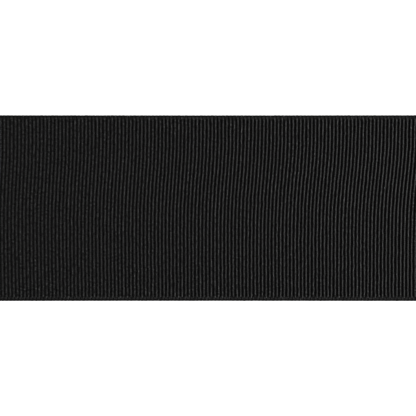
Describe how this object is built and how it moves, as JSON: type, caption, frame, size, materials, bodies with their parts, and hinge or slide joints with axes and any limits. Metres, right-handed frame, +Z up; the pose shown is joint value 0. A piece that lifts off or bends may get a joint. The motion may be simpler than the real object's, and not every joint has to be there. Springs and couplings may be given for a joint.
{
  "type": "length of grosgrain ribbon",
  "caption": "Flat cut length of black grosgrain ribbon: fine raised crosswise ribs on both faces, a woven selvedge along each side and straight cut ends. For trimming, binding and tying.",
  "frame": {"origin": "middle of the underside, on the surface that the ribbon lies on", "axes": "+X along the ribbon, +Y across it from selvedge to selvedge, +Z up out of the upper face"},
  "size_m": [0.1204, 0.038, 0.001],
  "materials": {
    "ribbon": "black polyester yarn, warp floats over thick weft cords, soft dull sheen on the rib crests"
  },
  "bodies": {
    "root": {"ribbon": "ribbon"}
  },
  "joints": []
}
